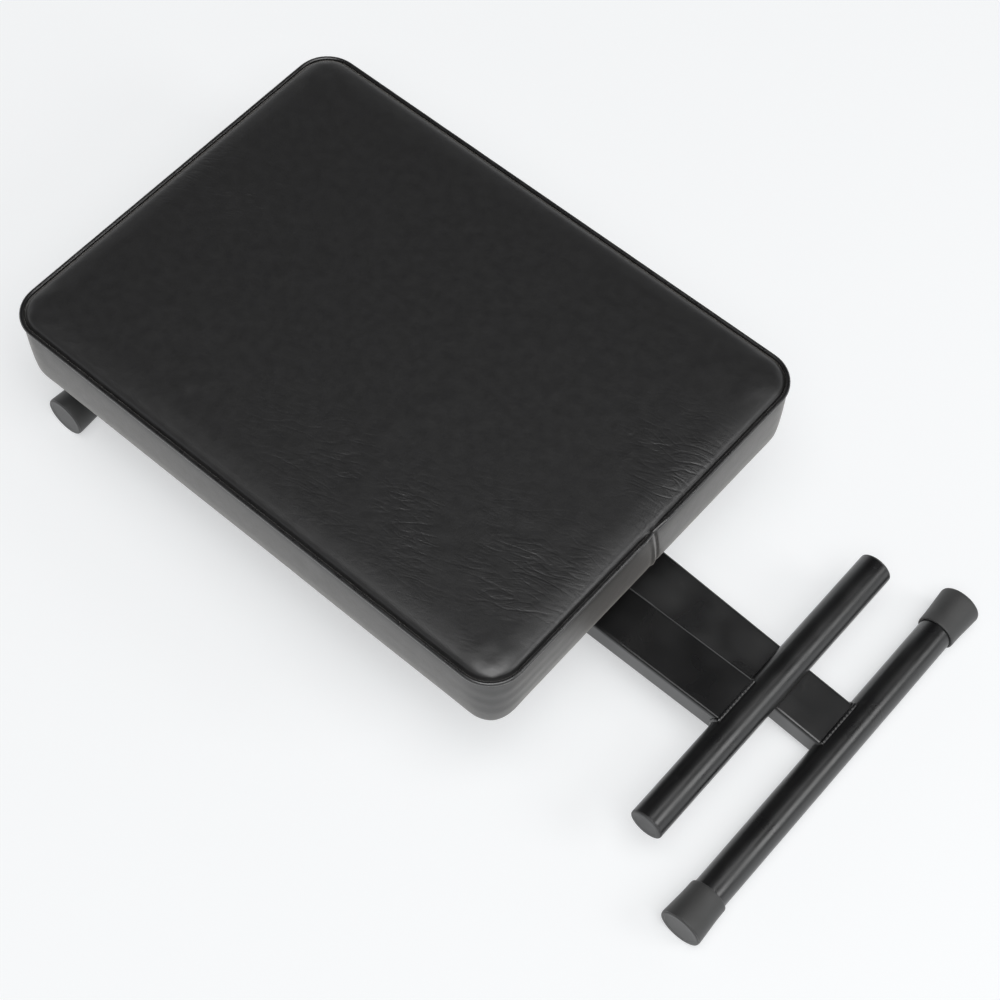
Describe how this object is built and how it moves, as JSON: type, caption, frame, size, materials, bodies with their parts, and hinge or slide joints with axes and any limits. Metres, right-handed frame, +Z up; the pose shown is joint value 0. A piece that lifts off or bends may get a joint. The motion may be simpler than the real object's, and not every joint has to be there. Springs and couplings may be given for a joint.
{
  "type": "folding keyboard bench",
  "caption": "Padded folding keyboard bench, lying folded flat: crossed steel tube legs with rubber-capped feet and a piped rectangular cushion.",
  "frame": {"origin": "on the floor, under the middle of the folded bench's bounding box", "axes": "+X along the bench from the seat towards the exposed crossbars, +Y across it away from the picture's viewpoint, +Z up"},
  "size_m": [0.6316, 0.3266, 0.1415],
  "materials": {
    "black_paint": "satin black powder coat",
    "rubber": "matt black rubber",
    "black_plastic": "satin black moulded plastic",
    "nylon": "natural nylon",
    "zinc_steel": "bright zinc plate",
    "vinyl": "black upholstery vinyl, fine creased grain",
    "piping_vinyl": "black vinyl piping",
    "foam": "open-cell foam",
    "plywood": "bare plywood",
    "painted_wood": "black stained hardwood",
    "dust_cloth": "black non-woven cloth"
  },
  "bodies": {
    "leg_a": {"arm_a": "black_paint", "end_plug_a_far": "black_plastic", "end_plug_a_near": "black_plastic", "foot_bar_a": "black_paint", "foot_cap_a_far": "rubber", "foot_cap_a_near": "rubber", "top_bar_a": "black_paint", "weld_foot_a": "black_paint", "weld_top_a": "black_paint", "pivot_bolt": "zinc_steel", "pivot_nut": "zinc_steel", "pivot_washer_near": "zinc_steel", "pivot_washer_far": "zinc_steel", "pivot_bush_a": "nylon", "pin_housing": "zinc_steel", "lock_spring": "zinc_steel"},
    "leg_b": {"arm_b": "black_paint", "end_plug_b_far": "black_plastic", "end_plug_b_near": "black_plastic", "foot_bar_b": "black_paint", "foot_cap_b_far": "rubber", "foot_cap_b_near": "rubber", "top_bar_b": "black_paint", "weld_foot_b": "black_paint", "weld_top_b": "black_paint", "pivot_bush_b": "nylon", "lock_plate": "black_paint"},
    "seat": {"batten_screws": "zinc_steel", "clip_screws": "zinc_steel", "dust_cover": "dust_cloth", "saddle_clip_far": "zinc_steel", "saddle_clip_near": "zinc_steel", "seat_batten_far": "painted_wood", "seat_batten_near": "painted_wood", "seat_board": "plywood", "seat_foam": "foam", "seat_piping": "piping_vinyl", "seat_side_band": "vinyl", "seat_top_panel": "vinyl", "staples": "zinc_steel", "tee_nuts": "zinc_steel"},
    "lock_pin": {"lock_pin": "zinc_steel", "pull_knob": "black_plastic"}
  },
  "joints": [
    {"name": "frame_fold", "type": "hinge", "parent": "leg_a", "child": "leg_b", "pos_m": [0.01268, 0, 0.03049], "axis": [0, -1, 0], "range_deg": [0, 102.62]},
    {"name": "seat_hinge", "type": "hinge", "parent": "leg_a", "child": "seat", "pos_m": [-0.21653, 0, 0.04205], "axis": [0, -1, 0], "range_deg": [0, 48.32]},
    {"name": "lock_pull", "type": "slide", "parent": "leg_a", "child": "lock_pin", "axis": [0, 1, 0], "range_m": [0, 0.008], "stiffness_N_per_m": 600, "springref_m": -0.004, "deforming": ["lock_spring"]}
  ],
  "couplings": [
    {"joint": "seat_hinge", "follows": "frame_fold", "ratio": 0.47077}
  ]
}
